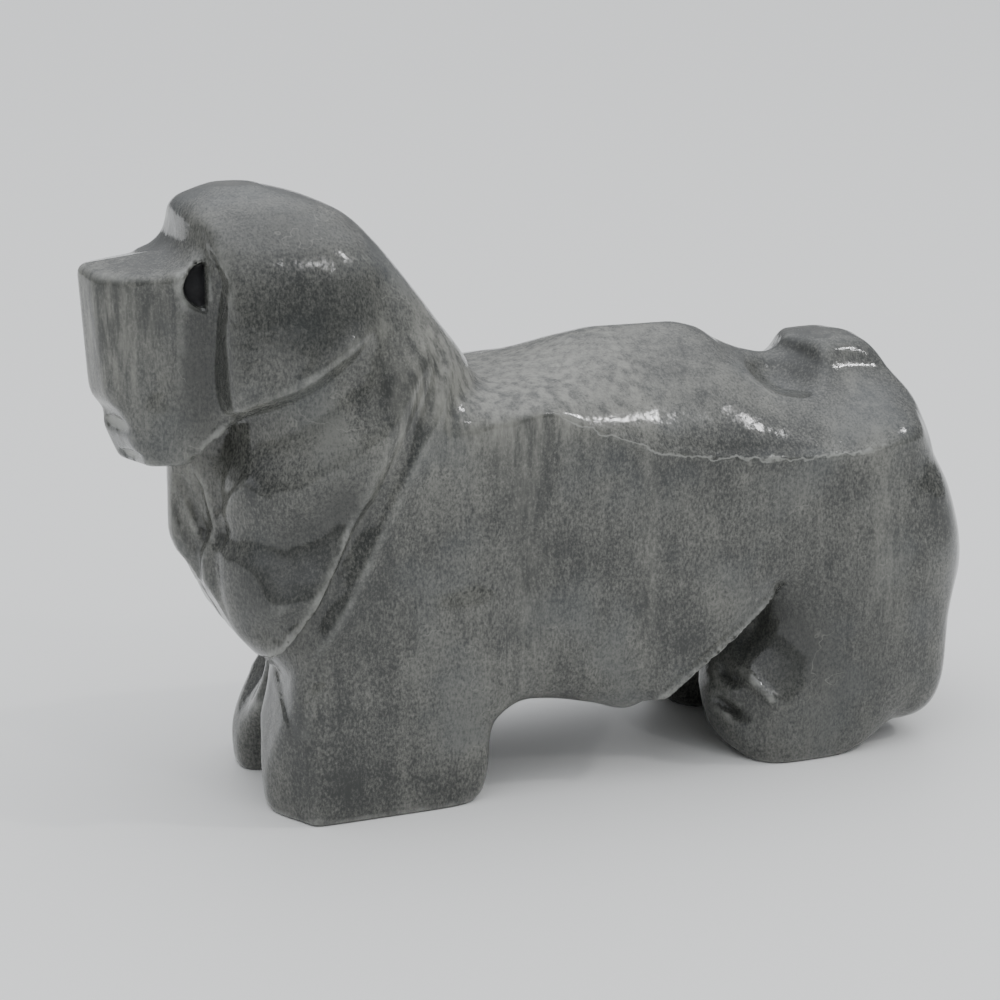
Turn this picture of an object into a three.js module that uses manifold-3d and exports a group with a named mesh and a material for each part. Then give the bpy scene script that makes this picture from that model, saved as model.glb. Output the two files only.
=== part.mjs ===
import * as THREE from 'three';
import { mergeVertices } from 'three/addons/utils/BufferGeometryUtils.js';
import Module from 'manifold-3d';

// A standing long-haired dog, carved from one block of polished grey-green stone.
// It faces -X and stands on four flat soles at z = 0. Its two sides are mirror images, but for the lean of
// the right front leg.

// Driving size in millimetres, from the front of the muzzle to the rump.
const LENGTH = 74;

// The figure keeps its proportions as shares of its own length.
// One share is a seventy-fourth of it. Everything below is in shares up to the last section.
const SHARES = 74;
const SHARE = LENGTH / SHARES;

// How far the muzzle and the rump reach from the middle of the body.
const MUZZLE_REACH = 37.95;
const RUMP_REACH = 38.3;

// Half widths, measured from the middle plane.
const HAUNCH_HALF = 12;
const BODY_HALF = 11;
const HEAD_HALF = 10.5;
const BROW_HALF = 7.3;
const MUZZLE_HALF = 6.8;
const FRONT_FOOT_HALF = 10.4;
const FOOT_GAP_HALF = 2.6;

// Heights above the soles.
const CROWN = 48.4;
const BACK_TOP = 35.5;
const TAIL_TOP = 34;
const MUZZLE_TOP = 43.3;
const CHIN = 27.9;

// How far the carver's relief stands out from the masses or sinks into them.
const MANE_STEP = 0.95;
const BIB_STEP = 0.9;
const EAR_RIDGE = 0.35;
const LOCK_RIDGE = 0.6;
const LOCK_GROOVE = 1;
const FLANK_STEP = 0.6;
const FLANK_HOLLOW = 1.3;
const CHEEK_FLUTE = 0.8;
const ELBOW_VALLEY = 0.8;
const CHEST_CLEFT = 0.5;

// Width of a carved step, from its foot to its top, and the shares of its length over which it comes and
// goes.
const EDGE_WIDTH = 1.5;
const STEP_START = 0.1;
const STEP_END = 0.2;

// How far the right front leg leans back for each share of height above its foot.
const FAR_LEAN = 0.34;

// Smooth curve through [place, value] pairs, with no overshoot, level past both ends.
function curve(pairs) {
  const place = pairs.map((pair) => pair[0]);
  const value = pairs.map((pair) => pair[1]);
  const last = pairs.length - 1;
  const span = place.slice(1).map((p, i) => p - place[i]);
  const rise = value.slice(1).map((v, i) => (v - value[i]) / span[i]);
  const slope = value.map((v, i) => {
    if (i === 0) return rise[0];
    if (i === last) return rise[last - 1];
    if (rise[i - 1] * rise[i] <= 0) return 0;
    const before = 2 * span[i] + span[i - 1];
    const after = span[i] + 2 * span[i - 1];
    return (before + after) / (before / rise[i - 1] + after / rise[i]);
  });
  return (t) => {
    const s = Math.min(Math.max(t, place[0]), place[last]);
    let i = 0;
    while (i < last - 1 && s > place[i + 1]) i += 1;
    const u = (s - place[i]) / span[i];
    const v = 1 - u;
    const ends = (1 + 2 * u) * v * v * value[i] + u * u * (3 - 2 * u) * value[i + 1];
    return ends + span[i] * (u * v * v * slope[i] - u * u * v * slope[i + 1]);
  };
}

// Union of two masses whose joint is filled with a fillet of about the given size.
function join(a, b, fillet) {
  const h = THREE.MathUtils.clamp(0.5 + (b - a) / (2 * fillet), 0, 1);
  return b + (a - b) * h - fillet * h * (1 - h);
}

// What two masses share, with its edge rounded by about the given size.
function trim(a, b, rounding) {
  return -join(-a, -b, rounding);
}

// Superellipse sum of three distances that are 1 on the surface.
function norm(a, b, c, power) {
  return (Math.abs(a) ** power + Math.abs(b) ** power + Math.abs(c) ** power) ** (1 / power);
}

// Rounded mass about a centre, with a radius on each axis.
function mass(x, a, z, centre, radius, power) {
  const [across, aside, up] = [x, a, z].map((place, i) => (place - centre[i]) / radius[i]);
  const q = norm(across, aside, up, power);
  return (q - 1) * Math.min(...radius);
}

// Upright mass whose plan section changes with height: front, back, outer and inner edge are curves of z.
function column(x, a, z, form) {
  const front = form.front(z);
  const back = form.back(z);
  const outer = form.outer(z);
  const inner = form.inner ? form.inner(z) : -outer;
  const halfX = (back - front) / 2;
  const halfA = (outer - inner) / 2;
  const q = norm((x - (back + front) / 2) / halfX, (a - (outer + inner) / 2) / halfA, 0, form.power);
  return (q - 1) * Math.min(halfX, halfA);
}

// Flat cut through a point, solid on the side that the normal points away from.
function cut(x, a, z, point, normal) {
  const size = Math.hypot(...normal);
  return ((x - point[0]) * normal[0] + (a - point[1]) * normal[1] + (z - point[2]) * normal[2]) / size;
}

// Signed distance from a line drawn on the side of the figure, and the share of its length reached there.
function alongLine(x, z, line) {
  let best = { distance: Infinity, offset: 0, share: 0 };
  let run = 0;
  for (let i = 0; i < line.length - 1; i += 1) {
    const [x0, z0] = line[i];
    const dx = line[i + 1][0] - x0;
    const dz = line[i + 1][1] - z0;
    const size = Math.hypot(dx, dz);
    const t = THREE.MathUtils.clamp(((x - x0) * dx + (z - z0) * dz) / (size * size), 0, 1);
    const distance = Math.hypot(x - x0 - t * dx, z - z0 - t * dz);
    const side = Math.sign(dx * (z - z0) - dz * (x - x0));
    if (distance < best.distance) best = { distance, offset: -side * distance, share: run + t * size };
    run += size;
  }
  return { offset: best.offset, share: best.share / run };
}

// Rises smoothly from 0 to 1.
function ease(t) {
  const u = THREE.MathUtils.clamp(t, 0, 1);
  return u * u * (3 - 2 * u);
}

// Bell of height 1 and half width 1.
function bell(t) {
  return Math.exp(-t * t);
}

// Round-topped ridge along a line, fading out over the given share of its length at both ends.
function ridge(x, z, line, width, fade) {
  const { offset, share } = alongLine(x, z, line);
  return bell(offset / width) * ease(share / fade) * ease((1 - share) / fade);
}

// Step that is high just left of a line and runs out to the left over a length.
function step(x, z, line, length) {
  const { offset, share } = alongLine(x, z, line);
  const edge = ease(0.5 - offset / EDGE_WIDTH) * Math.exp(-Math.max(-offset, 0) / length);
  return edge * ease(share / STEP_START) * ease((1 - share) / STEP_END);
}

// A mass trimmed by a list of flat cuts in turn.
function cutBlock(x, a, z, first, cuts) {
  return cuts.reduce((f, c) => trim(f, cut(x, a, z, c.point, c.normal), c.rounding), first);
}

// One slanting cut takes the top of the rump, the end of the tail and the back of the thigh alike.
const RUMP_SLOPE = { point: [RUMP_REACH - 7.2, 9, 23.3], normal: [0.86, 0.33, 0.4], rounding: 2.2 };

// Trunk: a loft along x, with a soft edge where the back meets the flanks and a flat belly.
const TRUNK = {
  top: curve([[-22, 34], [-12, 33.4], [-8, 33], [-3, 33.7], [1, 35], [4.2, BACK_TOP], [10, BACK_TOP],
    [12.4, 35], [14.3, 33.9], [17, 32.8], [20, 32.2], [24, 32], [28, 31.4], [31, 30]]),
  under: curve([[-22, 10], [-7.6, 7.4], [-3.8, 7.1], [0, 6.3], [2.8, 5.5], [5.1, 6.4], [8.4, 9],
    [11.9, 11.7], [15.4, 14.6], [18, 15.5], [22, 12], [26, 9.5], [30, 9]]),
  half: curve([[-22, 0.84 * BODY_HALF], [-13, 0.89 * BODY_HALF], [-8, 0.95 * BODY_HALF], [2, BODY_HALF],
    [20, 0.98 * HAUNCH_HALF], [28, 0.97 * HAUNCH_HALF]]),
  edge: curve([[-14, 28.5], [-8, 30.4], [-4.9, 31], [0.5, 28.8], [4.8, 27.1], [9, 26.2], [13.6, 25.7],
    [21.8, 25.6], [26.4, 26.4], [30, 26.8]]),
  roundness: curve([[-12, 2.4], [-4, 1.9], [2, 1.6], [20, 1.5], [30, 1.7]]),
  flankPower: 9,
  endPower: 2.2,
  chest: { from: -13, reach: 13 },
  rump: { from: RUMP_REACH - 15.3, reach: 15.3 },
};

function trunk(x, a, z) {
  const edge = TRUNK.edge(x);
  const rump = Math.max(x - TRUNK.rump.from, 0) / TRUNK.rump.reach;
  const chest = Math.max(TRUNK.chest.from - x, 0) / TRUNK.chest.reach;
  const above = z > edge;
  const rise = above ? (z - edge) / Math.max(TRUNK.top(x) - edge, 1) : (edge - z) / (edge - TRUNK.under(x));
  const section = norm(a / TRUNK.half(x), rise, 0, above ? TRUNK.roundness(x) : TRUNK.flankPower);
  const q = norm(section, rump + chest, 0, TRUNK.endPower);
  return cutBlock(x, a, z, (q - 1) * BODY_HALF, [RUMP_SLOPE]);
}

// Mane and head: one upright mass from the tip of the mane to the crown.
const MANE = {
  front: curve([[9.5, -20], [11, -23.8], [12.4, -26.1], [14.6, -28.2], [18, -29.3], [20.5, -29.5],
    [23, -28.6], [26, -29], [30, -28.3], [34, -28.6], [38, -29.6], [41.7, -30.4], [46, -30.6], [47.2, -30.1],
    [48.2, -28.9]]),
  back: curve([[9.5, -14], [14, -10], [20, -8], [30, -7], [34, -8.4], [38, -11.2], [41.7, -14], [44, -15.9],
    [46, -18], [47.2, -20.4], [48.2, -23.2]]),
  outer: curve([[9.5, 0.67 * HEAD_HALF], [12.4, 0.85 * HEAD_HALF], [16.5, 0.97 * HEAD_HALF], [20, HEAD_HALF],
    [26, HEAD_HALF], [34, 0.95 * HEAD_HALF], [38, 0.9 * HEAD_HALF], [41.7, 0.84 * HEAD_HALF],
    [44, 0.76 * HEAD_HALF], [46, 0.66 * HEAD_HALF], [47.2, 0.52 * HEAD_HALF], [48.2, 0.34 * HEAD_HALF]]),
  power: 2.6,
  tip: 9.5,
  rounding: 1.6,
};

function mane(x, a, z) {
  const head = trim(column(x, a, z, MANE), z - CROWN, MANE.rounding);
  return trim(head, MANE.tip - z, MANE.rounding);
}

// Brow: a narrow mass in front of the forehead, whose side carries the eye.
const BROW = {
  front: curve([[38, -32.1], [42.6, -32.2], [43.4, -31.5], [44.2, -30.9], [45.5, -30.4], [47, -29.9]]),
  back: () => -24,
  outer: curve([[38, 0.97 * BROW_HALF], [43, BROW_HALF], [44, 0.89 * BROW_HALF], [45.5, 0.7 * BROW_HALF],
    [47, 0.52 * BROW_HALF]]),
  power: 6,
  top: CROWN - 1.2,
  topRounding: 1.4,
  foot: 36,
  footRounding: 2,
};

function brow(x, a, z) {
  const body = trim(column(x, a, z, BROW), z - BROW.top, BROW.topRounding);
  return trim(body, BROW.foot - z, BROW.footRounding);
}

// Hair over the ears: a fuller mass on each side of the head, with a face that is crisp beside the eye and
// rounder below and above it, and with a slanting lower edge.
const EAR_HAIR = {
  front: curve([[30.5, -31.2], [36, -31.6], [42, -31.4], [44, -31.2], [46.6, -31.2]]),
  face: curve([[30.5, -29.9], [36, -29.7], [39, -29.5], [41, -29.1], [42.2, -28.9], [43.7, -29.4],
    [45.3, -30], [46.8, -30.3]]),
  faceRounding: curve([[35, 1.3], [39.5, 0.5], [43.5, 0.5], [45.5, 1.3]]),
  fillet: curve([[35, 2.2], [39.5, 0.9]]),
  back: curve([[30.5, -25], [32.4, -23], [36, -18.5], [39, -16.5], [42, -16.5], [44.2, -17.5], [46.6, -21]]),
  outer: curve([[30.5, 0.92 * HEAD_HALF], [32.4, 0.96 * HEAD_HALF], [36, 0.99 * HEAD_HALF],
    [39, 0.98 * HEAD_HALF], [42, 0.93 * HEAD_HALF], [44.2, 0.85 * HEAD_HALF], [46.6, 0.64 * HEAD_HALF]]),
  power: 3.8,
  lower: { point: [-29, 0, 32.6], normal: [0.5, 0, -1], rounding: 1.8 },
  top: CROWN - 1.4,
  topRounding: 1.4,
};

function earHair(x, a, z) {
  const body = cutBlock(x, a, z, column(x, a, z, EAR_HAIR), [EAR_HAIR.lower]);
  const faced = trim(body, EAR_HAIR.face(z) - x, EAR_HAIR.faceRounding(z));
  return trim(faced, z - EAR_HAIR.top, EAR_HAIR.topRounding);
}

// Muzzle: a blunt wedge in plan, cut by flat planes whose edges the polish has rounded. The cuts are the
// front, the chin, the top, the underside, the jaw, the throat and the end inside the head.
const MUZZLE = {
  half: curve([[-38, 0.35 * MUZZLE_HALF], [-37, 0.49 * MUZZLE_HALF], [-36, 0.63 * MUZZLE_HALF],
    [-34.2, 0.81 * MUZZLE_HALF], [-32.9, 0.91 * MUZZLE_HALF], [-31, MUZZLE_HALF], [-28, 1.06 * MUZZLE_HALF]]),
  cuts: [
    { point: [-MUZZLE_REACH, 0, 40], normal: [-1, 0.2, -0.05], rounding: 0.6 },
    { point: [-MUZZLE_REACH, 0, 33.8], normal: [-1, 0.22, -0.42], rounding: 0.5 },
    { point: [-35, 0, MUZZLE_TOP], normal: [-0.12, 0.15, 1], rounding: 0.8 },
    { point: [-34, 0, CHIN], normal: [-0.04, 0.1, -1], rounding: 0.5 },
    { point: [-34, 5.7, CHIN + 1], normal: [-0.15, 0.75, -0.5], rounding: 0.5 },
    { point: [-31.4, 0, CHIN + 0.4], normal: [1.1, 0, -1], rounding: 0.25 },
    { point: [-26, 0, 36], normal: [1, 0, 0], rounding: 0.5 },
  ],
};

function muzzle(x, a, z) {
  return cutBlock(x, a, z, a - MUZZLE.half(x), MUZZLE.cuts);
}

// Bib: hair on the chest, cut by flat planes: front, bevel, side, two that draw it in below, foot and back.
const BIB = {
  top: 31.6,
  cuts: [
    { point: [-32, 0, 24], normal: [-1, 0.12, 0.02], rounding: 0.4 },
    { point: [-31.5, 1.6, 24], normal: [-0.72, 0.69, 0], rounding: 0.35 },
    { point: [-29, 3.5, 24], normal: [-0.25, 1, 0.05], rounding: 0.5 },
    { point: [-32, 0, 20.3], normal: [-0.82, 0.1, -0.57], rounding: 0.3 },
    { point: [-30.5, 0, 18], normal: [-0.92, 0.2, -0.39], rounding: 0.3 },
    { point: [-28, 0, 14.6], normal: [0, 0, -1], rounding: 0.8 },
    { point: [-24, 0, 24], normal: [1, 0, 0], rounding: 0.5 },
  ],
};

// Front leg: a square column with a flat outer corner. The two legs part below the chest.
const FRONT_LEG = {
  front: curve([[-1, -25.6], [1, -26.2], [3, -26.3], [6, -25.9], [9, -25.2], [12, -24.7], [17, -23]]),
  back: curve([[-1, -10.6], [0, -10.1], [1, -9.4], [3, -9], [6, -8.8], [8, -7.9], [9.5, -6.9], [17, -5]]),
  outer: curve([[-1, 0.95 * FRONT_FOOT_HALF], [1, 0.99 * FRONT_FOOT_HALF], [6, 1.01 * FRONT_FOOT_HALF],
    [17, 0.98 * FRONT_FOOT_HALF]]),
  inner: curve([[0, FOOT_GAP_HALF], [3, 0.85 * FOOT_GAP_HALF], [5, 0.46 * FOOT_GAP_HALF], [6.5, 0]]),
  power: 6,
  corner: { point: [-24.9, 8.6, 4], normal: [-0.86, 0.5, -0.07], rounding: 0.4 },
  top: 17,
  topRounding: 2,
  lean: { from: 1.5, reach: 8, easeFrom: 1 },
};

function frontLeg(x, a, z, far) {
  const { from, reach, easeFrom } = FRONT_LEG.lean;
  const leaning = FAR_LEAN * far * ease((z - easeFrom) / reach) * THREE.MathUtils.clamp(z - from, 0, reach);
  const px = x - leaning;
  const leg = cutBlock(px, a, z, column(px, a, z, FRONT_LEG), [FRONT_LEG.corner]);
  return trim(leg, z - FRONT_LEG.top, FRONT_LEG.topRounding);
}

// Hind leg: foot and thigh in one column that leans back into the haunch.
const HIND_LEG = {
  front: curve([[-1, 14.6], [0, 13.8], [1, 12.7], [2.5, 11.8], [5.5, 11.3], [7.5, 11.8], [13, 14.8], [18, 18],
    [24, 22]]),
  back: curve([[-1, 22.6], [0, 23.6], [1, 25.6], [2.5, 27.2], [5.5, 28.4], [9, 30], [13, 32], [18, 33]]),
  outer: curve([[-1, 0.92 * HAUNCH_HALF], [1, 0.97 * HAUNCH_HALF], [5.5, HAUNCH_HALF], [13, HAUNCH_HALF],
    [24, 0.92 * HAUNCH_HALF]]),
  inner: curve([[0, 1.15 * FOOT_GAP_HALF], [2.5, FOOT_GAP_HALF], [5.5, 0.7 * FOOT_GAP_HALF], [9, 0]]),
  power: 3.4,
  corner: { point: [12.4, 9, 3], normal: [-0.75, 0.62, 0], rounding: 1.5 },
  top: 24,
  topRounding: 3,
};

function hindLeg(x, a, z) {
  const leg = cutBlock(x, a, z, column(x, a, z, HIND_LEG), [HIND_LEG.corner, RUMP_SLOPE]);
  return trim(leg, z - HIND_LEG.top, HIND_LEG.topRounding);
}

// Haunch, the skirt of hair behind the hind foot, and the hollow scooped between the back and the tail.
const HAUNCH = { centre: [23.6, 6.4, 13], radius: [9.2, 5.6, 10.8], power: 2.6 };
const SKIRT = { centre: [27.2, 6, 9.6], radius: [5.3, 5.5, 8.3], power: 3.4 };
const TAIL_HOLLOW = { centre: [18.9, 5.4, 33.6], radius: [4, 4.4, 3.7], power: 2 };

// Tail: a low ridge over the rump, cut by flat planes: top, rear slope, rump slope, side and front.
const TAIL = {
  foot: 26,
  cuts: [
    { point: [25.5, 0, TAIL_TOP], normal: [-0.05, 0.06, 1], rounding: 1 },
    { point: [30.9, 0, 29.6], normal: [0.8, 0.12, 0.6], rounding: 2.2 },
    RUMP_SLOPE,
    { point: [26, 4.8, 31.5], normal: [0.1, 1, 0.6], rounding: 0.9 },
    { point: [20.8, 0, 33.6], normal: [-0.84, 0.36, 0.4], rounding: 0.7 },
  ],
};

// Fillets where the masses meet.
const FILLET = {
  hollow: 0.8, neck: 2, brow: 0.7, bib: 0.4, muzzle: 0.8,
  thigh: 1.5, skirt: 0.5, hip: 1.2, shoulder: 1.8, tail: 1.8,
};

// All masses together. It is below 0 inside the stone.
function masses(x, a, z, far) {
  const lump = (form) => mass(x, a, z, form.centre, form.radius, form.power);
  const haunch = join(join(hindLeg(x, a, z), lump(HAUNCH), FILLET.thigh), lump(SKIRT), FILLET.skirt);
  let f = trim(trunk(x, a, z), -lump(TAIL_HOLLOW), FILLET.hollow);
  f = join(f, mane(x, a, z), FILLET.neck);
  f = join(f, earHair(x, a, z), EAR_HAIR.fillet(z));
  f = join(f, brow(x, a, z), FILLET.brow);
  f = join(f, cutBlock(x, a, z, z - BIB.top, BIB.cuts), FILLET.bib);
  f = join(f, haunch, FILLET.hip);
  f = join(f, frontLeg(x, a, z, far), FILLET.shoulder);
  f = join(f, muzzle(x, a, z), FILLET.muzzle);
  return join(f, cutBlock(x, a, z, TAIL.foot - z, TAIL.cuts), FILLET.tail);
}

// Lines of the relief, as [x, z] points on the side of the figure.
const MANE_EDGE = [[-27.3, 11.4], [-25.6, 14.3], [-23.3, 17.9], [-21, 22.3], [-17.1, 29.8], [-14.8, 34.1],
  [-12.6, 38.2]];
const EAR_EDGE = [[-30.6, 31.6], [-29.2, 32.3], [-27.2, 33.1], [-24, 34.7], [-21.8, 36.2], [-19.4, 37.9],
  [-17.5, 38.3]];
const FLANK_EDGE = [[4.2, 6.3], [5.1, 7], [8.4, 9.5], [11.9, 12.1], [15.8, 15.4]];
const SIDE_STEPS = [
  { line: MANE_EDGE, height: MANE_STEP, length: 5 },
  { line: FLANK_EDGE, height: FLANK_STEP, length: 3 },
];
const SIDE_STROKES = [
  { line: EAR_EDGE, height: EAR_RIDGE, width: 1.2, fade: 0.2 },
  { line: EAR_EDGE.map(([x, z]) => [x + 1.2, z - 2.8]), height: -EAR_RIDGE, width: 2.2, fade: 0.3 },
  { line: [[-14.5, 34.5], [-18, 31], [-24, 27], [-28.5, 25.2]], height: LOCK_RIDGE, width: 2, fade: 0.3 },
  { line: [[-19.2, 26.6], [-22.5, 23.4], [-27.6, 19.6]], height: -LOCK_GROOVE, width: 2.1, fade: 0.3 },
  { line: [[-22.6, 20.8], [-25.2, 18.4], [-28, 16.8]], height: 0.6 * LOCK_RIDGE, width: 1.2, fade: 0.3 },
  { line: [[-8, 7.8], [-7.2, 12], [-6.7, 18], [-6.3, 26]], height: -ELBOW_VALLEY, width: 1.9, fade: 0.4 },
];

// Front edge of the side lock on the chest, drawn as it shows from the front quarter.
// The first coordinate is the distance across that view, the sum of these shares of x and of the half width.
const QUARTER = { x: 0.934, a: 0.358 };
const QUARTER_STEPS = [
  {
    line: [[-26, 12.4], [-27, 15.4], [-27.4, 18], [-27.3, 20.3], [-26.3, 22.8], [-27, 25.8], [-28.2, 28.4]],
    height: -BIB_STEP,
    length: 2.5,
  },
];

// Upright flutes and the ridge between them on the side of the face, in front of the ear hair.
const FLUTES = [
  { x: -33.6, height: -0.5 * CHEEK_FLUTE, width: 0.95, low: 32, high: 42.4 },
  { x: -30.1, height: -0.5 * CHEEK_FLUTE, width: 1.3, low: 30, high: 41.6 },
];
const FLUTE_LEAN = { share: 0.02, level: 36 };
const FLUTE_FADE = 2.2;
const FLUTE_FROM = 3.5;

// Round hollows: behind the flank, and under the jaw.
const HOLLOWS = [
  { at: [15.8, 10.4], radius: [2.8, 3.6], depth: FLANK_HOLLOW, from: 6 },
  { at: [-29.8, 29.4], radius: [1.5, 1.5], depth: 0.7, from: 2.5 },
];

// Cleft down the middle of the mane's tip.
const CLEFT = { width: 0.9, top: 20.5, foot: 10, back: -20 };

// Height of the relief above the masses. It fades in from the middle plane towards the sides.
function relief(x, a, z) {
  const front = ease((a - 2.5) / 3);
  const outer = ease((a - 6) / 2);
  const quarter = QUARTER.x * x + QUARTER.a * a;
  let r = 0;
  for (const { line, height, length } of SIDE_STEPS) r += height * front * step(x, z, line, length);
  for (const { line, height, length } of QUARTER_STEPS) {
    r += height * ease((a - 0.5) / 1.5) * step(quarter, z, line, length);
  }
  for (const { line, height, width, fade } of SIDE_STROKES) {
    r += height * outer * ridge(x, z, line, width, fade);
  }
  for (const flute of FLUTES) {
    const across = bell((x - flute.x - FLUTE_LEAN.share * (z - FLUTE_LEAN.level)) / flute.width);
    const upright = ease((z - flute.low) / FLUTE_FADE) * ease((flute.high - z) / FLUTE_FADE);
    r += flute.height * across * upright * ease((a - FLUTE_FROM) / FLUTE_FADE);
  }
  for (const { at, radius, depth, from } of HOLLOWS) {
    r -= depth * bell(Math.hypot((x - at[0]) / radius[0], (z - at[1]) / radius[1])) * ease((a - from) / 2);
  }
  const cleft = bell(a / CLEFT.width) * ease((CLEFT.top - z) / 2) * ease((z - CLEFT.foot) / 2);
  return r - CHEST_CLEFT * cleft * ease((CLEFT.back - x) / 2);
}

// The block ends a little below the soles, where the floor plane cuts it afterwards.
const BLOCK_END = -1;

// The stone: masses less relief. The far side, where the leg leans, fades in across the middle plane.
const FAR_FADE = 5;

function stone(x, y, z) {
  const a = Math.abs(y);
  return Math.max(masses(x, a, z, ease(y / FAR_FADE)) - relief(x, a, z), BLOCK_END - z);
}

// Grid lines along one axis, with a spacing for each stretch up to its end.
function gridLines(start, stretches) {
  const lines = [start];
  for (const [end, spacing] of stretches) {
    const from = lines[lines.length - 1];
    const count = Math.max(1, Math.round((end - from) / spacing));
    for (let i = 1; i <= count; i += 1) lines.push(from + ((end - from) * i) / count);
  }
  return lines;
}

// Where the signs at the corners of a grid cell leave open how its pieces of surface join, the outer corner
// that is nearest to the surface is moved just inside it, so that every edge of the surface keeps two faces.
function settleCorners(values, size, at) {
  const inside = -0.01;
  const squares = [[[0, 1, 0], [0, 0, 1]], [[1, 0, 0], [0, 0, 1]], [[1, 0, 0], [0, 1, 0]]];
  const diagonals = [
    [[0, 0, 0], [1, 1, 1]],
    [[1, 0, 0], [0, 1, 1]],
    [[0, 1, 0], [1, 0, 1]],
    [[0, 0, 1], [1, 1, 0]],
  ];
  const sinkNearest = (places) => {
    const outer = places.filter((n) => values[n] >= 0).sort((a, b) => values[a] - values[b]);
    values[outer[0]] = inside;
  };
  let moved = 1;
  while (moved > 0) {
    moved = 0;
    for (let i = 0; i < size[0] - 1; i += 1) {
      for (let j = 0; j < size[1] - 1; j += 1) {
        for (let k = 0; k < size[2] - 1; k += 1) {
          const corner = (u, v) => at(i + u[0] + v[0], j + u[1] + v[1], k + u[2] + v[2]);
          const none = [0, 0, 0];
          for (const [u, v] of squares) {
            const places = [corner(none, none), corner(u, none), corner(u, v), corner(none, v)];
            const signs = places.map((n) => values[n] < 0);
            if (signs[0] !== signs[2] || signs[1] !== signs[3] || signs[0] === signs[1]) continue;
            sinkNearest(places);
            moved += 1;
          }
          const all = diagonals.flat().map((c) => corner(c, none));
          const count = all.filter((n) => values[n] < 0).length;
          if (count !== 2 && count !== 6) continue;
          for (const pair of diagonals) {
            const places = pair.map((c) => corner(c, none));
            if (places.some((n) => values[n] < 0 !== (count === 2))) continue;
            sinkNearest(count === 2 ? all : places);
            moved += 1;
          }
        }
      }
    }
  }
}

// Closed surface where the function is 0: one vertex in each grid cell that the surface crosses, the mean of
// its crossings on the cell's edges, and one four-sided face across each grid edge that it crosses.
function levelSurface(f, xs, ys, zs) {
  const size = [xs.length, ys.length, zs.length];
  const axes = [xs, ys, zs];
  const at = (i, j, k) => (i * size[1] + j) * size[2] + k;
  const values = new Float64Array(size[0] * size[1] * size[2]);
  xs.forEach((x, i) => ys.forEach((y, j) => zs.forEach((z, k) => { values[at(i, j, k)] = f(x, y, z); })));
  settleCorners(values, size, at);
  const vertexOf = new Map();
  const positions = [];
  const corners = [0, 1, 2, 3, 4, 5, 6, 7].map((n) => [n & 1, (n >> 1) & 1, (n >> 2) & 1]);
  const edges = [];
  for (const c of corners) [0, 1, 2].forEach((d) => { if (c[d] === 0) edges.push([c, d]); });
  for (let i = 0; i < size[0] - 1; i += 1) {
    for (let j = 0; j < size[1] - 1; j += 1) {
      for (let k = 0; k < size[2] - 1; k += 1) {
        const sum = [0, 0, 0];
        let count = 0;
        for (const [c, d] of edges) {
          const low = [i + c[0], j + c[1], k + c[2]];
          const high = low.slice();
          high[d] += 1;
          const a = values[at(...low)];
          const b = values[at(...high)];
          if (a < 0 === b < 0) continue;
          const t = a / (a - b);
          const point = low.map((n, m) => axes[m][n]);
          point[d] += t * (axes[d][high[d]] - axes[d][low[d]]);
          point.forEach((p, m) => { sum[m] += p; });
          count += 1;
        }
        if (count === 0) continue;
        vertexOf.set(at(i, j, k), positions.length / 3);
        positions.push(...sum.map((s) => s / count));
      }
    }
  }
  const indices = [];
  for (let d = 0; d < 3; d += 1) {
    const u = (d + 1) % 3;
    const v = (d + 2) % 3;
    for (let i = 1; i < size[0] - 1; i += 1) {
      for (let j = 1; j < size[1] - 1; j += 1) {
        for (let k = 1; k < size[2] - 1; k += 1) {
          const low = [i, j, k];
          const high = low.slice();
          high[d] += 1;
          const inside = values[at(...low)] < 0;
          if (inside === values[at(...high)] < 0) continue;
          const around = [[-1, -1], [0, -1], [0, 0], [-1, 0]].map(([s, t]) => {
            const cell = low.slice();
            cell[u] += s;
            cell[v] += t;
            return vertexOf.get(at(...cell));
          });
          if (!inside) around.reverse();
          indices.push(around[0], around[1], around[2], around[0], around[2], around[3]);
        }
      }
    }
  }
  return { positions, indices };
}

// The vertices are drawn onto the surface along its slope, where the mean of the crossings falls short of it.
function settle(f, positions, reach) {
  const h = 0.02;
  for (let n = 0; n < positions.length; n += 3) {
    const [x, y, z] = positions.slice(n, n + 3);
    const value = f(x, y, z);
    const slope = [
      f(x + h, y, z) - f(x - h, y, z),
      f(x, y + h, z) - f(x, y - h, z),
      f(x, y, z + h) - f(x, y, z - h),
    ];
    const square = slope.reduce((s, g) => s + g * g, 0) / (4 * h * h);
    const step = slope.map((g) => (-value * g) / (2 * h * square));
    const size = Math.hypot(...step);
    const limit = size > reach ? reach / size : 1;
    step.forEach((s, m) => { positions[n + m] += s * limit; });
  }
}

// The grid reaches a margin past the stone on every side. It is finer over the head than over the body.
const MARGIN = 3;
const HEAD_STEP = 1.25;
const BODY_STEP = 1.95;
const WIDE_STEP = 1.6;
const LOW_STEP = 1.75;
const HIGH_STEP = 1.2;
const NECK_X = -16;
const BACK_LEVEL = 28;
const SETTLE_REACH = 0.4;
const GRID_FOOT = -5;
const REACH_X = Math.max(MUZZLE_REACH, RUMP_REACH);
const HALVES = [HAUNCH_HALF, BODY_HALF, HEAD_HALF, FRONT_FOOT_HALF, MUZZLE_HALF, BROW_HALF];
const REACH_Y = Math.max(...HALVES) + MARGIN;
const REACH_Z = Math.max(CROWN, BACK_TOP, MUZZLE_TOP) + MARGIN;
const alongX = gridLines(-REACH_X - MARGIN, [[NECK_X, HEAD_STEP], [REACH_X + MARGIN, BODY_STEP]]);
const acrossY = gridLines(-REACH_Y, [[REACH_Y, WIDE_STEP]]);
const upZ = gridLines(GRID_FOOT, [[BACK_LEVEL, LOW_STEP], [REACH_Z, HIGH_STEP]]);
const surface = levelSurface(stone, alongX, acrossY, upZ);
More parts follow.
